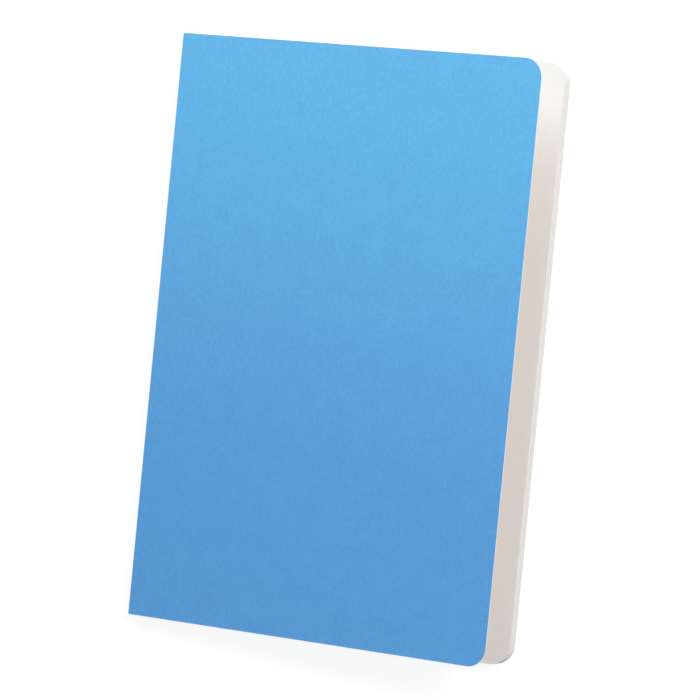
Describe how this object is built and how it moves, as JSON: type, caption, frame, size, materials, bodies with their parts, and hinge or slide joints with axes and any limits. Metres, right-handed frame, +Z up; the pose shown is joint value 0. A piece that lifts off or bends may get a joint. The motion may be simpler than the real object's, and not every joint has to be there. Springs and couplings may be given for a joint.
{
  "type": "notebook",
  "caption": "Soft-cover notebook with plain blue card cover, square spine, rounded fore-edge corners and sewn blank pages; covers and block open.",
  "frame": {"origin": "centre of the notebook's footprint, on the underside of the back cover", "axes": "+X from the spine to the fore-edge, +Y from the tail (bottom edge) to the head (top edge), +Z up out of the pages, from the back cover to the front cover"},
  "size_m": [0.148, 0.21, 0.0242],
  "materials": {
    "cover_card": "matt card, plain blue outside and white inside",
    "page_paper": "uncoated off-white writing paper, blank",
    "sewing_thread": "natural white linen thread",
    "lining_cloth": "open-weave white lining cloth"
  },
  "bodies": {
    "back_cover": {"back_cover": "cover_card"},
    "back_half": {"spine_panel_back": "cover_card", "spine_cloth_back": "lining_cloth", "back_section_thread": "sewing_thread", "middle_section_thread": "sewing_thread", "back_section_sheet_1": "page_paper", "back_section_sheet_2": "page_paper", "back_section_sheet_3": "page_paper", "back_section_sheet_4": "page_paper", "back_section_sheet_5": "page_paper", "back_section_sheet_6": "page_paper", "back_section_sheet_7": "page_paper", "back_section_sheet_8": "page_paper", "middle_section_back_leaf_1": "page_paper", "middle_section_back_leaf_2": "page_paper", "middle_section_back_leaf_3": "page_paper", "middle_section_back_leaf_4": "page_paper", "middle_section_back_leaf_5": "page_paper"},
    "back_leaf_6": {"middle_section_back_leaf_6": "page_paper"},
    "back_leaf_7": {"middle_section_back_leaf_7": "page_paper"},
    "back_leaf_8": {"middle_section_back_leaf_8": "page_paper"},
    "front_half": {"spine_panel_front": "cover_card", "spine_cloth_front": "lining_cloth", "front_section_thread": "sewing_thread", "front_section_sheet_1": "page_paper", "front_section_sheet_2": "page_paper", "front_section_sheet_3": "page_paper", "front_section_sheet_4": "page_paper", "front_section_sheet_5": "page_paper", "front_section_sheet_6": "page_paper", "front_section_sheet_7": "page_paper", "front_section_sheet_8": "page_paper", "middle_section_front_leaf_1": "page_paper", "middle_section_front_leaf_2": "page_paper", "middle_section_front_leaf_3": "page_paper", "middle_section_front_leaf_4": "page_paper", "middle_section_front_leaf_5": "page_paper"},
    "front_leaf_6": {"middle_section_front_leaf_6": "page_paper"},
    "front_leaf_7": {"middle_section_front_leaf_7": "page_paper"},
    "front_leaf_8": {"middle_section_front_leaf_8": "page_paper"},
    "front_cover": {"front_cover": "cover_card"}
  },
  "joints": [
    {"name": "front_cover_crease", "type": "hinge", "parent": "front_half", "child": "front_cover", "pos_m": [-0.074, 0, 0.00544], "axis": [0, -1, 0], "range_deg": [-7.3, 174.7]},
    {"name": "middle_opening", "type": "hinge", "parent": "back_half", "child": "front_half", "pos_m": [-0.074, 0, 0.00272], "axis": [0, 1, 0], "range_deg": [-135, 0]},
    {"name": "back_cover_crease", "type": "hinge", "parent": "back_cover", "child": "back_half", "pos_m": [-0.074, 0, 0], "axis": [0, 1, 0], "range_deg": [-43, 0]},
    {"name": "front_leaf_8_fold", "type": "hinge", "parent": "front_half", "child": "front_leaf_8", "pos_m": [-0.0724, 0, 0.00272], "axis": [0, 1, 0], "range_deg": [0, 21.6]},
    {"name": "front_leaf_7_fold", "type": "hinge", "parent": "front_half", "child": "front_leaf_7", "pos_m": [-0.0724, 0, 0.00272], "axis": [0, 1, 0], "range_deg": [0, 12.15]},
    {"name": "front_leaf_6_fold", "type": "hinge", "parent": "front_half", "child": "front_leaf_6", "pos_m": [-0.0724, 0, 0.00272], "axis": [0, 1, 0], "range_deg": [0, 5.4]},
    {"name": "back_leaf_8_fold", "type": "hinge", "parent": "back_half", "child": "back_leaf_8", "pos_m": [-0.0724, 0, 0.00271], "axis": [0, 1, 0], "range_deg": [-18.9, 0]},
    {"name": "back_leaf_7_fold", "type": "hinge", "parent": "back_half", "child": "back_leaf_7", "pos_m": [-0.0724, 0, 0.00271], "axis": [0, 1, 0], "range_deg": [-10.8, 0]},
    {"name": "back_leaf_6_fold", "type": "hinge", "parent": "back_half", "child": "back_leaf_6", "pos_m": [-0.0724, 0, 0.00271], "axis": [0, 1, 0], "range_deg": [-4.05, 0]}
  ],
  "couplings": [
    {"joint": "front_leaf_8_fold", "follows": "middle_opening", "ratio": -0.16},
    {"joint": "front_leaf_7_fold", "follows": "middle_opening", "ratio": -0.09},
    {"joint": "front_leaf_6_fold", "follows": "middle_opening", "ratio": -0.04},
    {"joint": "back_leaf_8_fold", "follows": "middle_opening", "ratio": 0.14},
    {"joint": "back_leaf_7_fold", "follows": "middle_opening", "ratio": 0.08},
    {"joint": "back_leaf_6_fold", "follows": "middle_opening", "ratio": 0.03}
  ]
}
